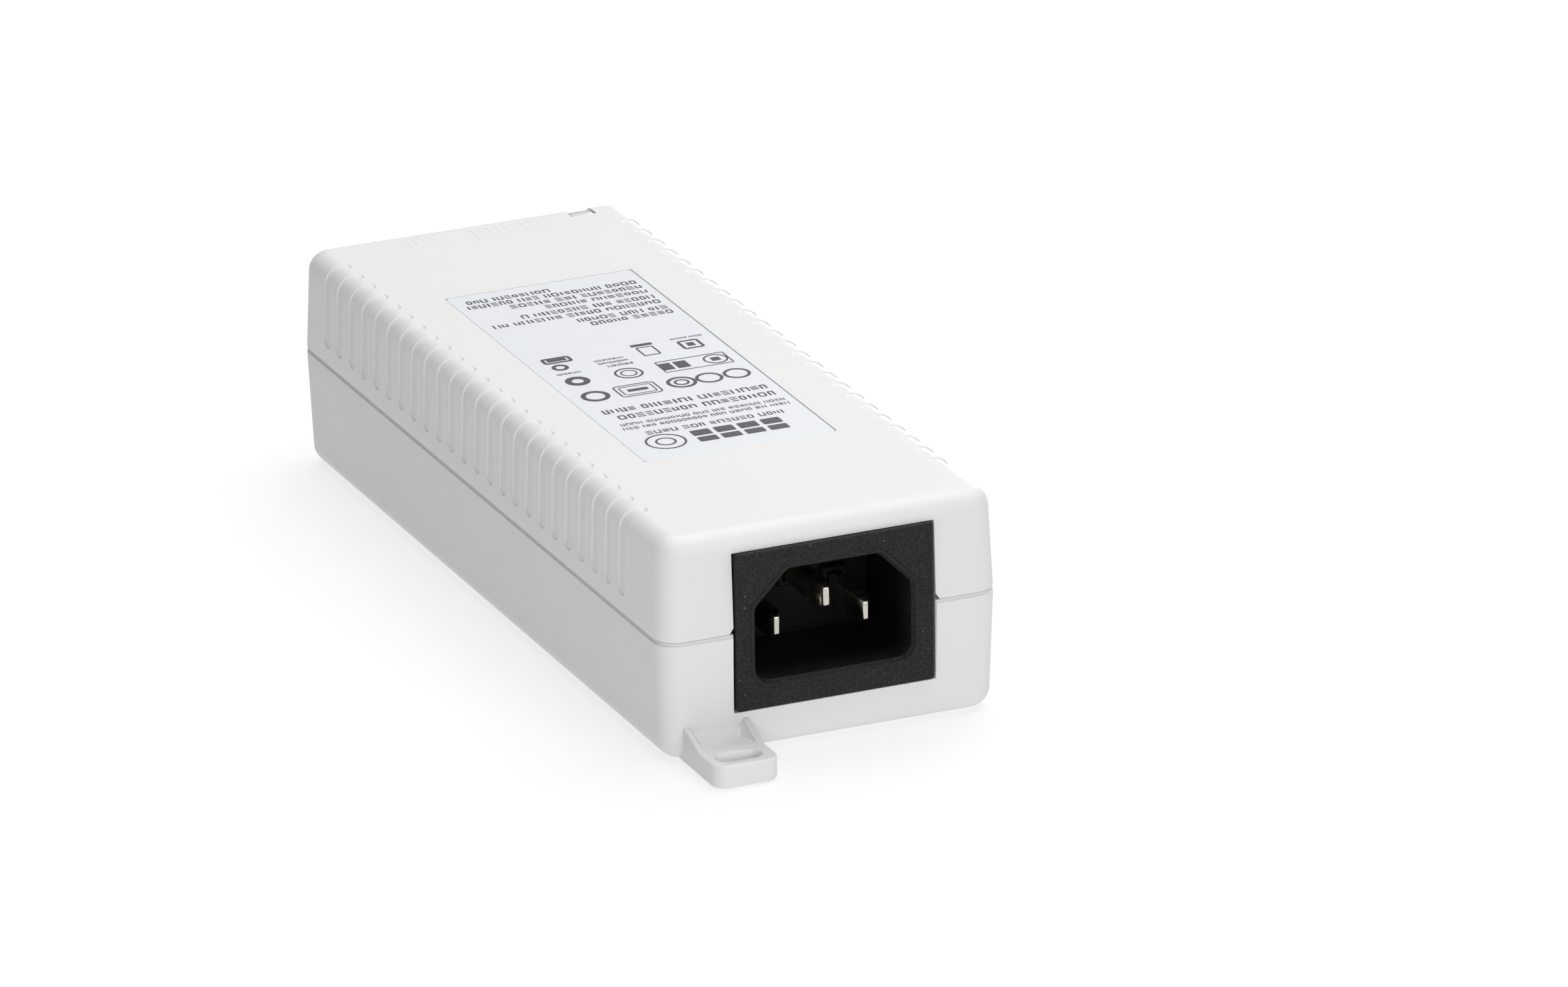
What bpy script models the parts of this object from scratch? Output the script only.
"""Single-port PoE injector (midspan): a mains inlet, a small power supply and two RJ45 sockets in one case.

Run with: blender --background --python part.py
Frame: origin at the centre of the underside, +Y from the mains inlet to the RJ45 sockets, +Z up.
Sizes below are in millimetres. Meshes and locations are written in metres.
"""

import math

import bmesh
import bpy
from mathutils import Matrix, Vector

MM = 0.001

# Case
CASE_WIDTH = 53.0
CASE_LENGTH = 140.0
CASE_HEIGHT = 33.8
SEAM_Z = 18.3
SEAM_GAP = 0.5
EDGE_RADIUS = 3.0
CORNER_RADIUS = 3.6
UPPER_TAPER_SIDE = 0.56
UPPER_TAPER_END = 0.62
LOWER_TAPER_SIDE = 0.64
LOWER_TAPER_END = 0.51
INNER_HALF_X = 24.2
INNER_HALF_Y = 67.5
FLOOR_Z = 2.2
CEILING_Z = 31.6
LIP_THICKNESS = 0.9
LIP_HEIGHT = 1.6
LIP_CLEARANCE = 0.3

# Cooling grooves down both long sides of the upper shell
GROOVE_COUNT = 24
GROOVE_PITCH = 4.95
GROOVE_MIDDLE_Y = 1.9
GROOVE_WIDTH = 2.5
GROOVE_FLOOR_WIDTH = 2.0
GROOVE_DEPTH = 0.45
GROOVE_BOTTOM_Z = 21.3
GROOVE_TOP_INSET = 4.0

# Screw ears, one at each end, diagonally opposite
EAR_X = -18.2
EAR_WIDTH = 10.2
EAR_REACH = 81.4
EAR_THICKNESS = 3.5
EAR_CORNER_RADIUS = 2.3
SLOT_X = -18.4
SLOT_Y = -78.1
SLOT_LENGTH = 6.9
SLOT_WIDTH = 2.9
GUSSET_WIDTH = 1.5
GUSSET_TOP_Z = 5.5
GUSSET_FOOT_Y = -75.3
ROOT_FOOT_Y = -71.2
ROOT_TOP_Z = 4.6

# Rating label and its recess
LABEL_WIDTH = 30.0
LABEL_LENGTH = 76.6
LABEL_Y = 0.7
LABEL_THICKNESS = 0.2
LABEL_RECESS = 0.5
LABEL_MARGIN = 0.25

# Mains inlet (IEC C14 type)
INLET_X = 0.25
INLET_Z = 18.87
FLANGE_WIDTH = 30.9
FLANGE_HEIGHT = 23.8
FLANGE_OFFSET = (0.05, -0.35)
OPENING_X = (-15.35, 16.2)
OPENING_Z = (6.35, 30.67)
FLANGE_FRONT_Y = -70.3
FLANGE_THICKNESS = 2.6
INLET_BODY_WIDTH = 28.4
INLET_BODY_HEIGHT = 20.4
INLET_BODY_REAR_Y = -50.4
CAVITY_WIDTH = 24.4
CAVITY_HEIGHT = 16.5
CAVITY_CHAMFER = 5.1
CAVITY_RADIUS = 2.3
CAVITY_FLOOR_Y = -53.1
CAVITY_LIP = 0.45
WING_REACH = 4.0
WING_HEIGHT = 15.0
WING_FRONT_Y = -67.1
WING_REAR_Y = -65.6
PIN_PITCH = 14.0
PIN_DROP = 2.0
PIN_THICKNESS = 2.0
PIN_HEIGHT = 4.0
PIN_TIP_Y = -65.6
EARTH_TIP_Y = -67.5
PIN_TAIL_Y = -44.4
TAIL_THICKNESS = 0.8
TAIL_HEIGHT = 3.2
PIN_CLEARANCE = 0.2

# Circuit board
BOARD_HALF_X = 23.2
BOARD_FRONT_Y = -46.0
BOARD_REAR_Y = 67.1
BOARD_BOTTOM_Z = 6.0
BOARD_THICKNESS = 1.6
SEAT_GAP = 0.3
BOARD_TOP_Z = BOARD_BOTTOM_Z + BOARD_THICKNESS
SEAT_Z = BOARD_TOP_Z + SEAT_GAP

# RJ45 sockets
JACK_X = -0.4
JACK_WIDTH = 30.4
JACK_HEIGHT = 13.2
JACK_FRONT_Y = 69.5
JACK_REAR_Y = 51.6
PORT_PITCH = 13.97
PORT_WIDTH = 11.7
PORT_MAIN_HEIGHT = 6.8
PORT_TOP_Z = 19.5
PORT_DEPTH = 13.6
LATCH_STEPS = ((6.3, 1.6), (3.3, 1.3))
SHIELD_GAP = 0.3
SHIELD_THICKNESS = 0.3
CONTACT_PITCH = 1.02
CONTACT_COUNT = 8

# Light pipe in the notch of the rear top edge
NOTCH_X = 18.2
NOTCH_WIDTH = 4.0
NOTCH_FRONT_Y = 64.5
NOTCH_BOTTOM_Z = 29.6
PIPE_Y = 65.6

# Case screws and the bosses that take them
SCREW_X = 20.5
SCREW_Y = 61.0
REAR_SCREW_Y = 58.0
BOSS_RADIUS = 4.0
HEAD_RADIUS = 2.6
SHANK_RADIUS = 1.3


def clear_scene():
    for obj in list(bpy.data.objects):
        bpy.data.objects.remove(obj)


def plastic(name, colour, roughness=0.5, metallic=0.0):
    """A Principled material for one kind of piece."""
    material = bpy.data.materials.new(name)
    material.use_nodes = True
    shader = material.node_tree.nodes["Principled BSDF"]
    shader.inputs["Base Color"].default_value = (*colour, 1.0)
    shader.inputs["Roughness"].default_value = roughness
    shader.inputs["Metallic"].default_value = metallic
    material.diffuse_color = (*colour, 1.0)
    return material


# ---------------------------------------------------------------- shape helpers, all in millimetres


def new_object(name, bm, material=None, parent=None, at=(0.0, 0.0, 0.0)):
    """Turns a bmesh in millimetres into an object in metres, placed at a point in millimetres."""
    bmesh.ops.recalc_face_normals(bm, faces=bm.faces)
    bmesh.ops.scale(bm, vec=Vector((MM, MM, MM)), verts=bm.verts)
    mesh = bpy.data.meshes.new(name)
    bm.to_mesh(mesh)
    bm.free()
    obj = bpy.data.objects.new(name, mesh)
    bpy.context.scene.collection.objects.link(obj)
    if material:
        mesh.materials.append(material)
    obj.parent = parent
    obj.location = Vector(at) * MM
    return obj


def smooth(obj, angle=35.0):
    """Round faces shaded smooth, edges sharper than the angle kept crisp."""
    obj.data.shade_smooth()
    obj.data.set_sharp_from_angle(angle=math.radians(angle))
    return obj


def loft(rings):
    """A closed body through rings of equal point count, capped at both ends."""
    bm = bmesh.new()
    loops = [[bm.verts.new(point) for point in ring] for ring in rings]
    for lower, upper in zip(loops, loops[1:]):
        count = len(lower)
        for i in range(count):
            j = (i + 1) % count
            bm.faces.new((lower[i], lower[j], upper[j], upper[i]))
    bm.faces.new(reversed(loops[0]))
    bm.faces.new(loops[-1])
    return bm


def box(low, high):
    """A plain block between two corners."""
    bm = bmesh.new()
    bmesh.ops.create_cube(bm, size=1.0)
    centre = (Vector(low) + Vector(high)) / 2
    size = Vector(high) - Vector(low)
    bmesh.ops.scale(bm, vec=size, verts=bm.verts)
    bmesh.ops.translate(bm, vec=centre, verts=bm.verts)
    return bm


def soft_box(low, high, bevel, segments=2):
    """A block with every edge rounded."""
    bm = box(low, high)
    bmesh.ops.bevel(bm, geom=bm.edges[:], offset=bevel, segments=segments, affect="EDGES", profile=0.5)
    return bm


def extrude_outline(outline, start, end, axis):
    """A closed prism: a 2D outline swept from start to end along X, Y or Z."""
    place = {
        "X": lambda a, b, t: (t, a, b),
        "Y": lambda a, b, t: (a, t, b),
        "Z": lambda a, b, t: (a, b, t),
    }[axis]
    return loft([[place(a, b, t) for a, b in outline] for t in (start, end)])


def cylinder(radius, bottom, top, sides=20, top_radius=None):
    """A round body along Z."""
    bm = bmesh.new()
    bmesh.ops.create_cone(
        bm,
        cap_ends=True,
        segments=sides,
        radius1=radius,
        radius2=radius if top_radius is None else top_radius,
        depth=top - bottom,
        matrix=Matrix.Translation((0.0, 0.0, (bottom + top) / 2)),
    )
    return bm


def turned(profile, sides=20):
    """A body of revolution about Z from (radius, height) points, first and last on or near the axis."""
    rings = []
    for radius, height in profile:
        steps = [2 * math.pi * i / sides for i in range(sides)]
        rings.append([(radius * math.cos(t), radius * math.sin(t), height) for t in steps])
    return loft(rings)


def arc(centre, radius, start, end, segments):
    """Points on an arc, angles in degrees, ends included."""
    steps = [math.radians(start + (end - start) * i / segments) for i in range(segments + 1)]
    return [(centre[0] + radius * math.cos(t), centre[1] + radius * math.sin(t)) for t in steps]


def rounded_rectangle(half_a, half_b, radius, segments=4):
    """A rectangle outline with round corners, anticlockwise from the lower right."""
    corners = ((1, -1, -90), (1, 1, 0), (-1, 1, 90), (-1, -1, 180))
    outline = []
    for side_a, side_b, start in corners:
        centre = (side_a * (half_a - radius), side_b * (half_b - radius))
        outline += arc(centre, radius, start, start + 90, segments)
    return outline


def moved(outline, a, b):
    return [(x + a, y + b) for x, y in outline]


def combine(target, bm, operation):
    """Boolean of the target with a bmesh in millimetres, applied at once."""
    tool = new_object("tool", bm)
    tool.hide_render = True
    tool.display_type = "WIRE"
    modifier = target.modifiers.new("Boolean", "BOOLEAN")
    modifier.operation = operation
    modifier.solver = "EXACT"
    modifier.object = tool
    tool.location = target.location
    if target.parent:
        tool.parent = target.parent
    bpy.context.view_layer.update()
    graph = bpy.context.evaluated_depsgraph_get()
    result = bpy.data.meshes.new_from_object(target.evaluated_get(graph))
    target.modifiers.remove(modifier)
    previous = target.data
    target.data = result
    result.name = target.name
    bpy.data.meshes.remove(previous)
    bpy.data.objects.remove(tool)


def cut(target, *tools):
    for bm in tools:
        combine(target, bm, "DIFFERENCE")


def fuse(target, *tools):
    for bm in tools:
        combine(target, bm, "UNION")


def empty(name, parent=None, at=(0.0, 0.0, 0.0)):
    obj = bpy.data.objects.new(name, None)
    bpy.context.scene.collection.objects.link(obj)
    obj.parent = parent
    obj.location = Vector(at) * MM
    return obj


# ---------------------------------------------------------------- case


def case_ring(half_x, half_y, radius, z, stations=()):
    """A level of the case: a rounded rectangle with extra points along both long sides.

    Each station is (y, push): push moves the point inwards by (towards the middle, down).
    """
    ring = []
    for x, y in arc((half_x - radius, -half_y + radius), radius, -90, 0, 4):
        ring.append((x, y, z))
    for y, (inwards, down) in stations:
        ring.append((half_x - inwards, y, z - down))
    for x, y in arc((half_x - radius, half_y - radius), radius, 0, 90, 4):
        ring.append((x, y, z))
    for x, y in arc((-half_x + radius, half_y - radius), radius, 90, 180, 4):
        ring.append((x, y, z))
    for y, (inwards, down) in reversed(stations):
        ring.append((-half_x + inwards, y, z - down))
    for x, y in arc((-half_x + radius, -half_y + radius), radius, 180, 270, 4):
        ring.append((x, y, z))
    return ring


def upper_half_sizes(z):
    """Half width and half length of the upper shell's drafted walls at a height."""
    share = (z - SEAM_Z) / (CASE_HEIGHT - SEAM_Z)
    return CASE_WIDTH / 2 - UPPER_TAPER_SIDE * share, CASE_LENGTH / 2 - UPPER_TAPER_END * share


def lower_half_sizes(z):
    """Half width and half length of the lower shell's drafted walls at a height."""
    share = (SEAM_Z - z) / SEAM_Z
    return CASE_WIDTH / 2 - LOWER_TAPER_SIDE * share, CASE_LENGTH / 2 - LOWER_TAPER_END * share


def groove_stations():
    """(y, share of the full depth) along a side, four points to a groove."""
    stations = []
    first = GROOVE_MIDDLE_Y - GROOVE_PITCH * (GROOVE_COUNT - 1) / 2
    for i in range(GROOVE_COUNT):
        y = first + GROOVE_PITCH * i
        stations.append((y - GROOVE_WIDTH / 2, 0.0))
        stations.append((y - GROOVE_FLOOR_WIDTH / 2, 1.0))
        stations.append((y + GROOVE_FLOOR_WIDTH / 2, 1.0))
        stations.append((y + GROOVE_WIDTH / 2, 0.0))
    return stations


def upper_outer_rings():
    """The upper shell's outside from the seam to the top face, with the grooves pressed into it."""
    wall_end = CASE_HEIGHT - EDGE_RADIUS
    seam = SEAM_Z + SEAM_GAP / 2
    levels = [(seam, 0.0, 0.0, 0.0), (GROOVE_BOTTOM_Z, 0.0, 0.0, 0.0), (GROOVE_BOTTOM_Z + 0.3, 0.0, 0.0, 1.0)]
    for angle in (0.0, 30.0, 60.0, 90.0):
        turn = math.radians(angle)
        inset = EDGE_RADIUS * (1 - math.cos(turn))
        levels.append((wall_end + EDGE_RADIUS * math.sin(turn), inset, angle, 1.0))
    levels.append((CASE_HEIGHT, GROOVE_TOP_INSET, 90.0, 0.0))
    levels.append((CASE_HEIGHT, GROOVE_TOP_INSET + 0.4, 90.0, 0.0))
    rings = []
    for z, inset, angle, depth_share in levels:
        half_x, half_y = upper_half_sizes(min(z, wall_end))
        turn = math.radians(angle)
        depth = GROOVE_DEPTH * depth_share
        stations = [
            (y, (depth * share * math.cos(turn), depth * share * math.sin(turn)))
            for y, share in groove_stations()
        ]
        radius = max(CORNER_RADIUS - inset, 0.3)
        rings.append(case_ring(half_x - inset, half_y - inset, radius, z, stations))
    return rings


def lower_outer_rings():
    """The lower shell's outside from the flat underside to the seam."""
    rings = []
    for angle in (90.0, 60.0, 30.0, 0.0):
        turn = math.radians(angle)
        inset = EDGE_RADIUS * (1 - math.cos(turn))
        half_x, half_y = lower_half_sizes(EDGE_RADIUS)
        z = EDGE_RADIUS - EDGE_RADIUS * math.sin(turn)
        rings.append(case_ring(half_x - inset, half_y - inset, CORNER_RADIUS - inset, z))
    seam = SEAM_Z - SEAM_GAP / 2
    half_x, half_y = lower_half_sizes(seam - 0.4)
    rings.append(case_ring(half_x, half_y, CORNER_RADIUS, seam - 0.4))
    rings.append(case_ring(half_x - 0.3, half_y - 0.3, CORNER_RADIUS - 0.3, seam))
    return rings


def inner_block(bottom, top, grow=0.0):
    """The space inside the case between two heights."""
    outline = rounded_rectangle(INNER_HALF_X + grow, INNER_HALF_Y + grow, 1.6 + grow, 3)
    return extrude_outline(outline, bottom, top, "Z")


def screw_places():
    return [(side * SCREW_X, y) for y in (-SCREW_Y, REAR_SCREW_Y) for side in (-1, 1)]


def post_places():
    """Where posts hold the circuit board from below and above."""
    return [(side * 20.6, y) for y in (-42.6, 46.0) for side in (-1, 1)]


def at_point(bm, x, y):
    bmesh.ops.translate(bm, vec=(x, y, 0.0), verts=bm.verts)
    return bm


def half_turn(bm):
    bmesh.ops.rotate(bm, cent=(0, 0, 0), matrix=Matrix.Rotation(math.pi, 3, "Z"), verts=bm.verts)
    return bm


def ear_plate():
    """The flat tab of an ear, running back into the case's floor."""
    r = EAR_CORNER_RADIUS
    rings = []
    for z, inset in ((0.0, 0.45), (0.45, 0.0), (EAR_THICKNESS - 0.2, 0.0), (EAR_THICKNESS, 0.15)):
        left, right = EAR_X - EAR_WIDTH / 2 + inset, EAR_X + EAR_WIDTH / 2 - inset
        front = -EAR_REACH + inset
        outline = [(right, -62.0), (left, -62.0)]
        outline += arc((left + r, front + r), r, 180, 270, 4)
        outline += arc((right - r, front + r), r, 270, 360, 4)
        rings.append([(x, y, z) for x, y in outline])
    return loft(rings)


def ear_gusset(side):
    """A triangular web between the ear's top and the end wall."""
    outer = EAR_X + side * (EAR_WIDTH / 2 - 0.02)
    inner = outer - side * GUSSET_WIDTH
    slope = (GUSSET_TOP_Z - EAR_THICKNESS) / (GUSSET_FOOT_Y + 69.6)
    top = GUSSET_TOP_Z - slope * 1.2
    outline = [(-68.4, 1.0), (-68.4, top), (GUSSET_FOOT_Y, EAR_THICKNESS - 0.02), (GUSSET_FOOT_Y, 1.0)]
    return extrude_outline(outline, min(outer, inner), max(outer, inner), "X")


def ear_root():
    """The sloped thickening where the ear's top runs into the end wall, between the webs."""
    half = EAR_WIDTH / 2 - GUSSET_WIDTH + 0.3
    slope = (ROOT_TOP_Z - EAR_THICKNESS) / (ROOT_FOOT_Y + 69.6)
    outline = [(-68.4, 1.0), (-68.4, ROOT_TOP_Z - slope * 1.2)]
    outline += [(ROOT_FOOT_Y, EAR_THICKNESS - 0.02), (ROOT_FOOT_Y, 1.0)]
    return extrude_outline(outline, EAR_X - half, EAR_X + half, "X")


def ear_slot():
    half, r = SLOT_LENGTH / 2, SLOT_WIDTH / 2
    outline = arc((half - r, 0.0), r, -90, 90, 6) + arc((-half + r, 0.0), r, 90, 270, 6)
    return extrude_outline(moved(outline, SLOT_X, SLOT_Y), -1.0, EAR_THICKNESS + 1.0, "Z")


def inlet_opening():
    return box((OPENING_X[0], -75.0, OPENING_Z[0]), (OPENING_X[1], -66.0, OPENING_Z[1]))


def jack_opening():
    half = JACK_WIDTH / 2 + SHIELD_GAP + SHIELD_THICKNESS + 0.3
    bottom = SEAT_Z - 0.4
    top = SEAT_Z + JACK_HEIGHT + SHIELD_GAP + SHIELD_THICKNESS + 0.3
    return box((JACK_X - half, 66.0, bottom), (JACK_X + half, 75.0, top))


def make_lower_shell(material, parent):
    shell = new_object("lower_shell", loft(lower_outer_rings()), material, parent)
    ears = [ear_plate(), ear_root(), ear_gusset(-1), ear_gusset(1)]
    ears += [half_turn(bm) for bm in (ear_plate(), ear_root(), ear_gusset(-1), ear_gusset(1))]
    fuse(shell, *ears)
    cut(shell, ear_slot(), half_turn(ear_slot()))
    cut(shell, inner_block(FLOOR_Z, 40.0))
    seam = SEAM_Z - SEAM_GAP / 2
    lip = new_object("lip", inner_block(seam - 1.0, seam + LIP_HEIGHT, LIP_THICKNESS))
    cut(lip, inner_block(seam - 2.0, seam + LIP_HEIGHT + 1.0))
    lip_mesh = bmesh.new()
    lip_mesh.from_mesh(lip.data)
    bmesh.ops.scale(lip_mesh, vec=Vector((1 / MM, 1 / MM, 1 / MM)), verts=lip_mesh.verts)
    bpy.data.objects.remove(lip)
    fuse(shell, lip_mesh)
    for x, y in screw_places():
        fuse(shell, at_point(cylinder(BOSS_RADIUS, 1.0, 17.5), x, y))
    for x, y in post_places():
        fuse(shell, at_point(cylinder(2.4, 1.0, BOARD_BOTTOM_Z - SEAT_GAP, 12), x, y))
    for x, y in screw_places():
        cut(shell, at_point(cylinder(1.7, -1.0, 20.0, 12), x, y))
        cut(shell, at_point(cylinder(HEAD_RADIUS + 0.3, -1.0, 4.0, 16), x, y))
    cut(shell, inlet_opening(), jack_opening())
    return smooth(shell)


def corner_relief(side):
    """The small triangular relief where the seam meets the inlet opening."""
    edge = OPENING_X[0] if side < 0 else OPENING_X[1]
    base = SEAM_Z + SEAM_GAP / 2 - 0.1
    outline = [(edge - side * 1.5, base - 0.1), (edge - side * 1.5, base + 0.9)]
    outline += [(edge + side * 0.05, base + 0.9), (edge + side * 0.75, base - 0.1)]
    return extrude_outline(outline, -72.0, -66.5, "Y")


def make_upper_shell(material, parent):
    shell = new_object("upper_shell", loft(upper_outer_rings()), material, parent)
    cut(shell, inner_block(10.0, CEILING_Z))
    relief = LIP_THICKNESS + LIP_CLEARANCE
    cut(shell, inner_block(10.0, SEAM_Z + LIP_HEIGHT + LIP_CLEARANCE, relief))
    half_x = LABEL_WIDTH / 2 + LABEL_MARGIN
    half_y = LABEL_LENGTH / 2 + LABEL_MARGIN
    cut(
        shell,
        box(
            (-half_x, LABEL_Y - half_y, CASE_HEIGHT - LABEL_RECESS),
            (half_x, LABEL_Y + half_y, CASE_HEIGHT + 1.0),
        ),
    )
    for x, y in screw_places():
        fuse(shell, at_point(cylinder(3.2, 18.0, CEILING_Z + 0.6, 16), x, y))
        cut(shell, at_point(cylinder(1.65, 10.0, 27.0, 12), x, y))
    for x, y in post_places():
        fuse(shell, at_point(cylinder(1.6, SEAT_Z, CEILING_Z + 0.6, 10), x, y))
    half = NOTCH_WIDTH / 2
    cut(shell, box((NOTCH_X - half, NOTCH_FRONT_Y, NOTCH_BOTTOM_Z), (NOTCH_X + half, 75.0, 40.0)))
    cut(shell, inlet_opening(), jack_opening(), corner_relief(-1), corner_relief(1))
    return smooth(shell)


def make_label(material, parent):
    outline = rounded_rectangle(LABEL_WIDTH / 2, LABEL_LENGTH / 2, 0.4, 2)
    sheet = extrude_outline(outline, 0.0, LABEL_THICKNESS, "Z")
    bottom = CASE_HEIGHT - LABEL_RECESS + 0.25
    return new_object("rating_label", sheet, material, parent, (0.0, LABEL_Y, bottom))


def make_screw(index, x, y, material, parent):
    """A pan-head screw driven up from the underside, with a cross recess."""
    head = [(0.01, 0.0), (HEAD_RADIUS - 0.7, 0.0), (HEAD_RADIUS, 0.7), (HEAD_RADIUS, 1.7)]
    shank = [(SHANK_RADIUS, 1.7), (SHANK_RADIUS, 22.0), (0.4, 24.0)]
    screw = new_object(f"case_screw_{index}", turned(head + shank, 16), material, parent, (x, y, 2.0))
    for half_a, half_b in ((1.5, 0.35), (0.35, 1.5)):
        cut(screw, box((-half_a, -half_b, -1.0), (half_a, half_b, 0.9)))
    return smooth(screw)


def make_light_pipe(material, parent):
    """The clear head in the rear notch and the stem that runs down to the lamp."""
    gap = 0.3
    left, right = NOTCH_X - NOTCH_WIDTH / 2 + gap, NOTCH_X + NOTCH_WIDTH / 2 - gap
    front, bottom, top, rear = NOTCH_FRONT_Y + gap, NOTCH_BOTTOM_Z + gap, CASE_HEIGHT - 0.6, 69.1
    outline = [(front, bottom), (rear, bottom)] + arc((rear - 2.4, top - 2.4), 2.4, 0, 90, 4)
    outline.append((front, top))
    pipe = new_object("light_pipe", extrude_outline(outline, left, right, "X"), material, parent)
    fuse(pipe, box((NOTCH_X - 1.2, PIPE_Y - 0.7, 11.8), (NOTCH_X + 1.2, PIPE_Y + 1.2, bottom + 0.5)))
    return smooth(pipe, 25.0)


# ---------------------------------------------------------------- mains inlet


def cavity_outline(grow=0.0):
    """The C14 opening: two chamfered corners above, two round ones below."""
    half_x, half_z = CAVITY_WIDTH / 2 + grow, CAVITY_HEIGHT / 2 + grow
    chamfer = CAVITY_CHAMFER + grow * 0.6
    r = CAVITY_RADIUS + grow
    outline = arc((half_x - r, -half_z + r), r, -90, 0, 4)
    outline += [(half_x, half_z - chamfer), (half_x - chamfer, half_z)]
    outline += [(-half_x + chamfer, half_z), (-half_x, half_z - chamfer)]
    outline += arc((-half_x + r, -half_z + r), r, 180, 270, 4)
    return outline


def pin_places():
    """(name, x, z, tip y) of the three pins, measured from the inlet's centre."""
    return (
        ("inlet_pin_live", -PIN_PITCH / 2, -PIN_DROP, PIN_TIP_Y),
        ("inlet_pin_earth", 0.0, PIN_DROP, EARTH_TIP_Y),
        ("inlet_pin_neutral", PIN_PITCH / 2, -PIN_DROP, PIN_TIP_Y),
    )


def make_inlet_housing(material, parent):
    """Flange, body, retaining wings behind the end wall, and the socket cavity with a bevelled mouth."""
    front, flange_rear = FLANGE_FRONT_Y, FLANGE_FRONT_Y + FLANGE_THICKNESS
    half_x, half_z = FLANGE_WIDTH / 2, FLANGE_HEIGHT / 2
    edge = 0.3
    rings = []
    for y, inset in ((front, edge), (front + edge, 0.0), (flange_rear, 0.0)):
        outline = moved(rounded_rectangle(half_x - inset, half_z - inset, 0.5, 2), *FLANGE_OFFSET)
        rings.append([(x, y, z) for x, z in outline])
    housing = new_object("inlet_housing", loft(rings), material, parent)
    body = rounded_rectangle(INLET_BODY_WIDTH / 2, INLET_BODY_HEIGHT / 2, 2.0, 3)
    wings = rounded_rectangle(INLET_BODY_WIDTH / 2 + WING_REACH, WING_HEIGHT / 2, 0.6, 2)
    fuse(housing, extrude_outline(body, flange_rear - 0.8, INLET_BODY_REAR_Y, "Y"))
    fuse(housing, extrude_outline(wings, WING_FRONT_Y, WING_REAR_Y, "Y"))
    mouth = []
    for y, grow in ((front - 1.0, CAVITY_LIP + 1.0), (front + CAVITY_LIP, 0.0), (CAVITY_FLOOR_Y, 0.0)):
        mouth.append([(x, y, z) for x, z in cavity_outline(grow)])
    cut(housing, loft(mouth))
    for _, x, z, _ in pin_places():
        half_w, half_h = PIN_THICKNESS / 2 + PIN_CLEARANCE, PIN_HEIGHT / 2 + PIN_CLEARANCE
        cut(housing, box((x - half_w, -56.0, z - half_h), (x + half_w, -48.0, z + half_h)))
    return smooth(housing, 30.0)


def make_pin(name, x, z, tip_y, material, parent):
    """A flat blade with a tapered tip, and the thinner solder tail behind the housing."""
    half_w, half_h = PIN_THICKNESS / 2, PIN_HEIGHT / 2
    chamfer, shoulder = 0.6, INLET_BODY_REAR_Y + 0.6
    tail_w, tail_h = TAIL_THICKNESS / 2, TAIL_HEIGHT / 2
    sections = (
        (tip_y, half_w - chamfer, half_h - chamfer),
        (tip_y + 1.2, half_w, half_h),
        (shoulder, half_w, half_h),
        (shoulder + 0.5, tail_w, tail_h),
        (PIN_TAIL_Y, tail_w, tail_h),
    )
    rings = []
    for y, a, b in sections:
        rings.append([(-a, y, -b), (-a, y, b), (a, y, b), (a, y, -b)])
    return new_object(name, loft(rings), material, parent, (x, 0.0, z))


def make_lead(name, x, z, land_y, material, parent):
    """An insulated wire from a solder tail, over and down to the board."""
    start = Vector((x, PIN_TAIL_Y + SEAT_GAP, z))
    end = Vector((x, land_y, SEAT_Z))
    control = (start, start + Vector((0, 5.5, 0)), end + Vector((0, 0, 6.5)), end)
    curve = bpy.data.curves.new(name, "CURVE")
    curve.dimensions = "3D"
    curve.bevel_depth = 0.9 * MM
    curve.bevel_resolution = 1
    curve.use_fill_caps = True
    spline = curve.splines.new("POLY")
    count = 8
    spline.points.add(count)
    for i in range(count + 1):
        t = i / count
        weights = ((1 - t) ** 3, 3 * t * (1 - t) ** 2, 3 * t * t * (1 - t), t**3)
        point = sum((w * p for w, p in zip(weights, control)), Vector())
        spline.points[i].co = (*(point * MM), 1.0)
    curve.materials.append(material)
    lead = bpy.data.objects.new(name, curve)
    bpy.context.scene.collection.objects.link(lead)
    lead.parent = parent
    return lead


# ---------------------------------------------------------------- RJ45 sockets


def port_centres():
    return [JACK_X - PORT_PITCH / 2, JACK_X + PORT_PITCH / 2]


def make_jack_housing(material, parent):
    """One block with two sockets, each stepped below for the plug's latch."""
    half = JACK_WIDTH / 2
    low = (JACK_X - half, JACK_REAR_Y, SEAT_Z)
    high = (JACK_X + half, JACK_FRONT_Y, SEAT_Z + JACK_HEIGHT)
    housing = new_object("rj45_housing", soft_box(low, high, 0.3, 1), material, parent)
    inner_y = JACK_FRONT_Y - PORT_DEPTH
    for x in port_centres():
        bottom = PORT_TOP_Z - PORT_MAIN_HEIGHT
        outline = [(x - PORT_WIDTH / 2, PORT_TOP_Z), (x - PORT_WIDTH / 2, bottom)]
        right = [(x + PORT_WIDTH / 2, PORT_TOP_Z), (x + PORT_WIDTH / 2, bottom)]
        for width, height in LATCH_STEPS:
            outline += [(x - width / 2, bottom), (x - width / 2, bottom - height)]
            right += [(x + width / 2, bottom), (x + width / 2, bottom - height)]
            bottom -= height
        cut(housing, extrude_outline(outline + right[::-1], inner_y, 75.0, "Y"))
    return smooth(housing, 30.0)


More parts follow.
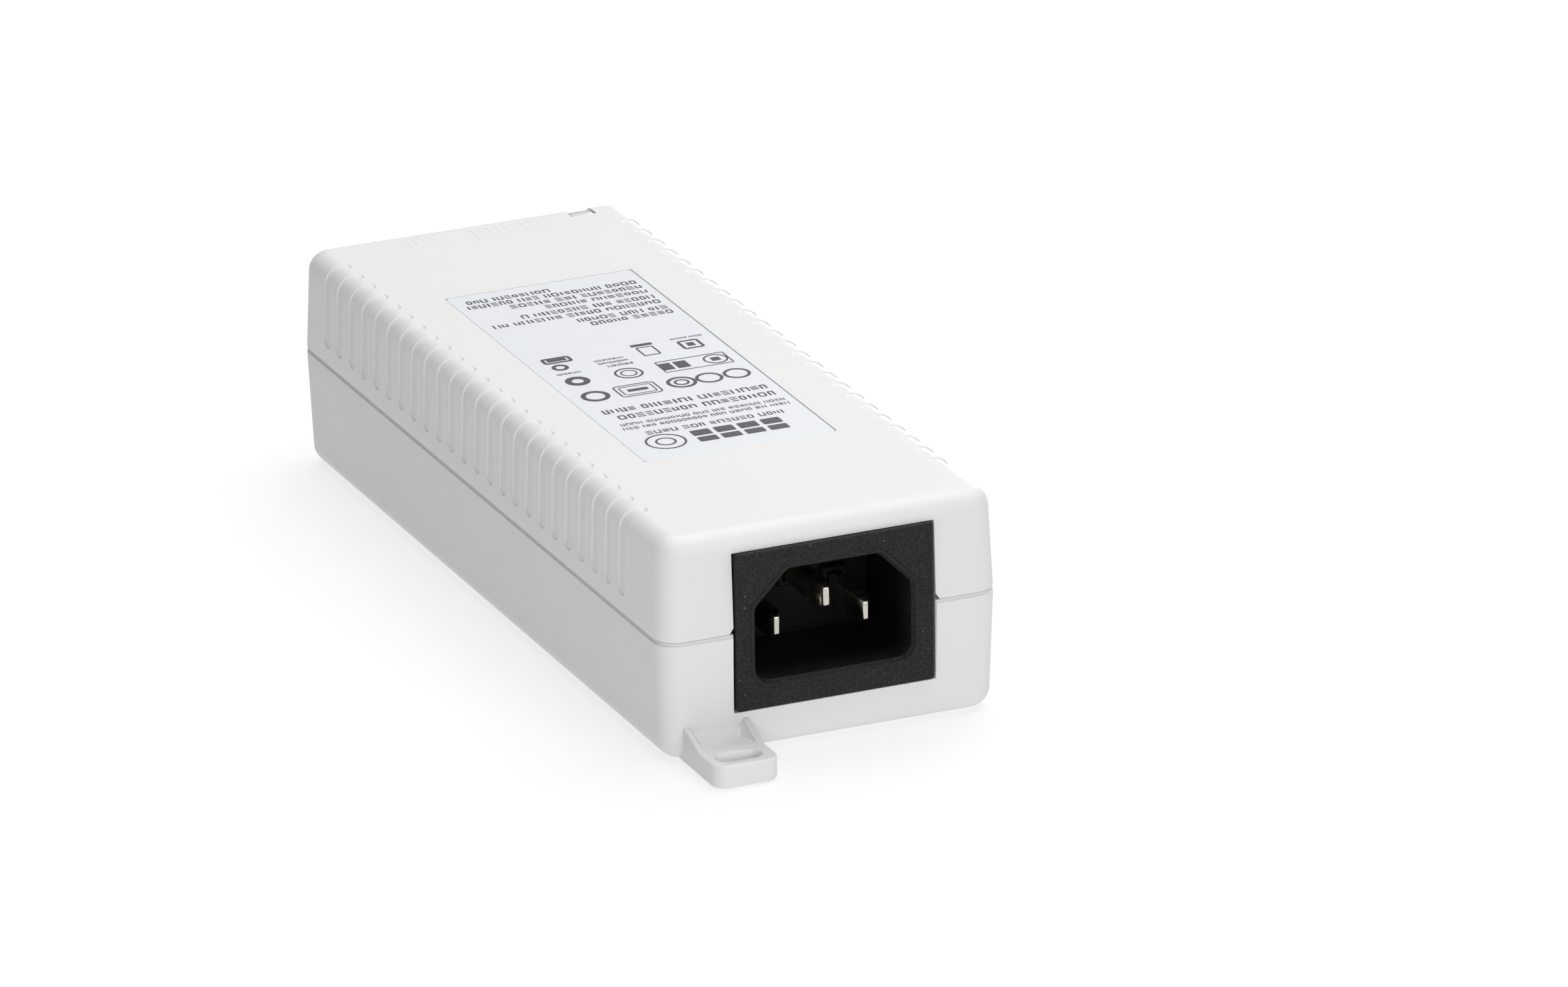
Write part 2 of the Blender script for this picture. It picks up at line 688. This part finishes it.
def make_jack_shield(material, parent):
    """A thin folded can over the sockets, open below and in front of each port."""
    grow = SHIELD_GAP + SHIELD_THICKNESS
    half, top = JACK_WIDTH / 2, SEAT_Z + JACK_HEIGHT
    low = (JACK_X - half - grow, JACK_REAR_Y - grow, SEAT_Z)
    high = (JACK_X + half + grow, JACK_FRONT_Y + 0.35, top + grow)
    shield = new_object("rj45_shield", box(low, high), material, parent)
    gap = SHIELD_GAP
    cut(
        shield,
        box((JACK_X - half - gap, JACK_REAR_Y - gap, 0.0), (JACK_X + half + gap, 80.0, top + gap)),
    )
    return shield


def make_contacts(name, x, material, parent):
    """Eight spring wires on a carrier bar at the back of a socket."""
    rear = JACK_FRONT_Y - PORT_DEPTH
    roof = PORT_TOP_Z
    bar = box((x - 5.2, rear + 0.3, roof - 2.6), (x + 5.2, rear + 2.2, roof - 0.3))
    contacts = new_object(name, bar, material, parent)
    t = 0.3
    upper = [(rear + 1.8, roof - 0.5), (rear + 10.4, roof - 0.5), (rear + 11.0, roof - 1.0)]
    lower = [(rear + 3.6, roof - 2.2), (rear + 3.7, roof - 2.2 + t), (rear + 10.4, roof - 1.0)]
    outline = upper + [(rear + 10.7, roof - 1.3)] + lower
    outline += [(rear + 10.0, roof - 0.5 - t), (rear + 1.8, roof - 0.5 - t)]
    for i in range(CONTACT_COUNT):
        middle = x + (i - (CONTACT_COUNT - 1) / 2) * CONTACT_PITCH
        fuse(contacts, extrude_outline(outline, middle - 0.23, middle + 0.23, "X"))
    return contacts


# ---------------------------------------------------------------- circuit board and what stands on it


def make_board(material, parent):
    """The board, notched at its rear corners round the screw bosses."""
    outline = [(-BOARD_HALF_X, BOARD_FRONT_Y), (BOARD_HALF_X, BOARD_FRONT_Y)]
    notch_x, notch_low, notch_high = SCREW_X - BOSS_RADIUS - 0.5, REAR_SCREW_Y - 4.5, REAR_SCREW_Y + 4.5
    outline += [(BOARD_HALF_X, notch_low), (notch_x, notch_low), (notch_x, notch_high)]
    outline += [(BOARD_HALF_X, notch_high), (BOARD_HALF_X, BOARD_REAR_Y)]
    outline += [(-x, y) for x, y in reversed(outline[2:])]
    laminate = extrude_outline(outline, 0.0, BOARD_THICKNESS, "Z")
    return new_object("main_pcb", laminate, material, parent, (0, 0, -BOARD_THICKNESS))


def make_insulation(material, parent):
    """A plastic sheet on the floor below the mains half of the board."""
    sheet = extrude_outline(rounded_rectangle(17.0, 27.0, 1.5, 2), 0.0, 0.4, "Z")
    return new_object("insulation_sheet", sheet, material, parent, (0.0, -18.0, FLOOR_Z + 0.3))


def stand(name, bm, material, parent, x, y, angle=35.0):
    """Puts a component on the board at a place, just clear of its surface."""
    return smooth(new_object(name, bm, material, parent, (x, y, SEAT_GAP)), angle)


def can_capacitor(radius, height):
    """An aluminium can: a rolled groove near the foot and a bevelled rim."""
    foot = [(0.01, 0.0), (radius - 0.5, 0.0), (radius, 0.6)]
    roll = [(radius, 2.0), (radius - 0.5, 2.6), (radius, 3.2)]
    rim = [(radius, height - 0.6), (radius - 0.6, height), (0.01, height)]
    return turned(foot + roll + rim, 20)


def disc(radius, thickness, centre_z):
    """A coated disc standing on edge, its axis along Y."""
    half = thickness / 2
    bm = turned([(0.01, -half), (radius - 0.8, -half), (radius, 0.0), (radius - 0.8, half), (0.01, half)], 16)
    bmesh.ops.rotate(bm, cent=(0, 0, 0), matrix=Matrix.Rotation(math.pi / 2, 3, "X"), verts=bm.verts)
    bmesh.ops.translate(bm, vec=(0, 0, centre_z), verts=bm.verts)
    return bm


def make_choke(core_material, copper, parent, x, y):
    """A rectangular ferrite frame with a winding on each upright leg."""
    block = soft_box((-9, -4, 1.0), (9, 4, 18.0), 0.4, 1)
    core = new_object("choke_core", block, core_material, parent, (x, y, SEAT_GAP))
    cut(core, box((-5, -9, 5.0), (5, 9, 14.0)))
    for name, side in (("choke_winding_left", -1), ("choke_winding_right", 1)):
        profile = rounded_rectangle(3.9, 6.6, 1.6, 3)
        coil = extrude_outline(profile, 5.4, 13.6, "Z")
        coil_at = (x + side * 7.0, y, SEAT_GAP)
        winding = new_object(name, coil, copper, parent, coil_at)
        cut(winding, box((-2.3, -4.3, 0.0), (2.3, 4.3, 20.0)))
        smooth(winding)
    return core


def make_transformer(ferrite, tape, bobbin_material, parent, x, y):
    """An E-core pair round a bobbin that carries the taped winding."""
    place = (x, y, SEAT_GAP)
    block = soft_box((-10.0, -9.0, 3.6), (10.0, 9.0, 20.0), 0.3, 1)
    core = new_object("transformer_core", block, ferrite, parent, place)
    for side in (-1, 1):
        reach = (side * 3.0, side * 7.0)
        cut(core, box((min(reach), -12.0, 6.8), (max(reach), 12.0, 16.8)))
    cut(core, box((-12.0, -12.0, 0.0), (12.0, -3.2, 25.0)), box((-12.0, 3.2, 0.0), (12.0, 12.0, 25.0)))
    flange = box((-6.6, -8.6, 7.2), (6.6, 8.6, 8.4))
    bobbin = new_object("transformer_bobbin", flange, bobbin_material, parent, place)
    fuse(bobbin, box((-6.6, -8.6, 15.2), (6.6, 8.6, 16.4)), box((-3.9, -4.1, 7.4), (3.9, 4.1, 16.2)))
    cut(bobbin, box((-3.3, -3.5, 0.0), (3.3, 3.5, 25.0)))
    for side in (-1, 1):
        y_far, y_near = side * 9.4, side * 5.0
        fuse(bobbin, box((-9.0, min(y_far, y_near), 0.0), (9.0, max(y_far, y_near), 3.0)))
        leg = (side * 5.4, side * 8.4)
        fuse(bobbin, box((-6.0, min(leg), 2.5), (6.0, max(leg), 7.8)))
    coil = extrude_outline(rounded_rectangle(6.4, 7.6, 2.0, 3), 8.7, 14.9, "Z")
    winding = new_object("transformer_winding", coil, tape, parent, place)
    cut(winding, box((-4.2, -4.4, 0.0), (4.2, 4.4, 25.0)))
    return smooth(winding)


def make_package(name, material, parent, x, y, side):
    """A three-legged power package: a tabbed body, its face against a heat sink at one side."""
    body = box((-2.0, -5.0, 7.0), (2.0, 5.0, 16.0))
    package = new_object(name, body, material, parent, (x, y, SEAT_GAP))
    tab = (side * 0.8, side * 2.0)
    fuse(package, box((min(tab), -4.9, 15.0), (max(tab), 4.9, 20.5)))
    for leg in (-2.54, 0.0, 2.54):
        fuse(package, box((-0.3, leg - 0.4, 0.0), (0.3, leg + 0.4, 8.0)))
    return package


def make_heatsink(name, material, parent, x, y, side):
    """A finned plate standing along a side of the case."""
    plate = box((-0.8, -11.0, 0.0), (0.8, 11.0, 21.0))
    sink = new_object(name, plate, material, parent, (x, y, SEAT_GAP))
    for end in (-1, 1):
        reach = (end * 9.6, end * 11.0)
        foot = (0.0, -side * 3.6)
        fuse(sink, box((min(foot), min(reach), 0.0), (max(foot), max(reach), 21.0)))
    return sink


def make_chip(name, size, material, parent, x, y, lead_pitch=1.27, lead_count=0):
    """A flat moulded package with gull-wing legs along its two long sides."""
    length, width, height = size
    body = soft_box((-length / 2, -width / 2, 0.2), (length / 2, width / 2, height), 0.2, 1)
    chip = new_object(name, body, material, parent, (x, y, SEAT_GAP))
    for i in range(lead_count):
        along = (i - (lead_count - 1) / 2) * lead_pitch
        for side in (-1, 1):
            reach = (side * (width / 2 - 0.3), side * (width / 2 + 1.0))
            fuse(chip, box((along - 0.25, min(reach), 0.0), (along + 0.25, max(reach), 0.7)))
    return chip


def main():
    clear_scene()
    product = empty("poe_injector")
    inlet = empty("inlet", product, (INLET_X, 0.0, INLET_Z))
    board = empty("board", product, (0.0, 0.0, BOARD_TOP_Z))

    grey = plastic("case_plastic", (0.80, 0.80, 0.79), 0.45)
    white = plastic("label_film", (0.88, 0.88, 0.92), 0.4)
    black = plastic("inlet_plastic", (0.03, 0.03, 0.032), 0.5)
    nickel = plastic("nickel", (0.75, 0.73, 0.68), 0.25, 1.0)
    gold = plastic("gold", (0.83, 0.62, 0.25), 0.25, 1.0)
    steel = plastic("tin_steel", (0.62, 0.63, 0.64), 0.3, 1.0)
    clear = plastic("clear_plastic", (0.55, 0.60, 0.60), 0.15)
    fibre = plastic("board_laminate", (0.05, 0.22, 0.09), 0.5)
    ferrite = plastic("ferrite", (0.06, 0.06, 0.065), 0.7)
    copper = plastic("copper", (0.65, 0.28, 0.12), 0.3, 1.0)
    tape = plastic("winding_tape", (0.80, 0.66, 0.15), 0.4)
    film = plastic("film_box", (0.80, 0.65, 0.12), 0.4)
    blue = plastic("disc_coating", (0.08, 0.20, 0.50), 0.4)
    sleeve = plastic("can_sleeve", (0.05, 0.06, 0.10), 0.35)
    mould = plastic("chip_mould", (0.03, 0.03, 0.03), 0.6)
    alloy = plastic("heatsink_alloy", (0.60, 0.61, 0.62), 0.4, 1.0)
    lamp = plastic("lamp_green", (0.25, 0.65, 0.30), 0.2)
    sheet = plastic("barrier_sheet", (0.85, 0.83, 0.75), 0.4)
    wires = {
        "live": plastic("lead_brown", (0.22, 0.10, 0.05), 0.5),
        "neutral": plastic("lead_blue", (0.06, 0.16, 0.50), 0.5),
        "earth": plastic("lead_green_yellow", (0.25, 0.50, 0.08), 0.5),
    }

    make_lower_shell(grey, product)
    make_upper_shell(grey, product)
    make_label(white, product)
    make_light_pipe(clear, product)
    for index, (x, y) in enumerate(screw_places(), 1):
        make_screw(index, x, y, steel, product)

    make_inlet_housing(black, inlet)
    for name, x, z, tip_y in pin_places():
        make_pin(name, x, z, tip_y, nickel, inlet)
        lead = name.replace("pin", "lead")
        wire = wires[name.rsplit("_", 1)[1]]
        make_lead(lead, INLET_X + x, INLET_Z + z, -38.6 if x else -36.6, wire, product)

    make_jack_housing(black, product)
    make_jack_shield(steel, product)
    for name, x in zip(("rj45_contacts_in", "rj45_contacts_out"), port_centres()):
        make_contacts(name, x, gold, product)

    make_board(fibre, board)
    make_insulation(sheet, product)
    stand("fuse", cylinder(4.2, 0.0, 8.0), mould, board, -16.0, -36.2)
    stand("varistor", disc(5.5, 4.0, 6.2), blue, board, 16.2, -38.6, 25.0)
    stand("x_capacitor", soft_box((-9, -4, 0), (9, 4, 14), 0.5, 1), film, board, 1.5, -28.6)
    make_choke(ferrite, copper, board, -11.0, -14.8)
    stand("bridge_rectifier", soft_box((-7.5, -2, 1.0), (7.5, 2, 12.0), 0.4, 1), mould, board, 10.0, -20.2)
    stand("bulk_capacitor", can_capacitor(8.0, 22.5), sleeve, board, 11.0, -8.0)
    make_transformer(ferrite, tape, mould, board, -8.0, 10.5)
    make_package("switching_transistor", mould, board, 17.9, 14.0, 1)
    make_heatsink("primary_heatsink", alloy, board, 21.6, 14.0, 1)
    make_chip("pwm_controller", (5.0, 4.0, 1.8), mould, board, 8.6, 12.0, 1.27, 3)
    stand("optocoupler", soft_box((-2.4, -3.3, 0.4), (2.4, 3.3, 4.0), 0.3, 1), mould, board, 8.4, 20.8)
    stand("y_capacitor", disc(4.0, 3.2, 4.6), blue, board, 1.2, 26.0, 25.0)
    make_package("output_diode", mould, board, -17.9, 33.0, -1)
    make_heatsink("secondary_heatsink", alloy, board, -21.6, 33.0, -1)
    stand("output_capacitor_1", can_capacitor(5.0, 20.0), sleeve, board, -8.6, 28.0)
    stand("output_capacitor_2", can_capacitor(5.0, 20.0), sleeve, board, -8.6, 39.4)
    make_chip("poe_controller", (15.4, 7.5, 2.6), mould, board, 10.4, 31.6, 1.27, 12)
    make_chip("ethernet_magnetics", (17.6, 9.8, 6.2), mould, board, 6.6, 43.6, 2.0, 8)
    lens = turned([(0.01, 0.0), (1.4, 0.0), (1.4, 2.4), (0.9, 3.3), (0.01, 3.6)], 14)
    stand("status_led", lens, lamp, board, NOTCH_X, PIPE_Y)


main()
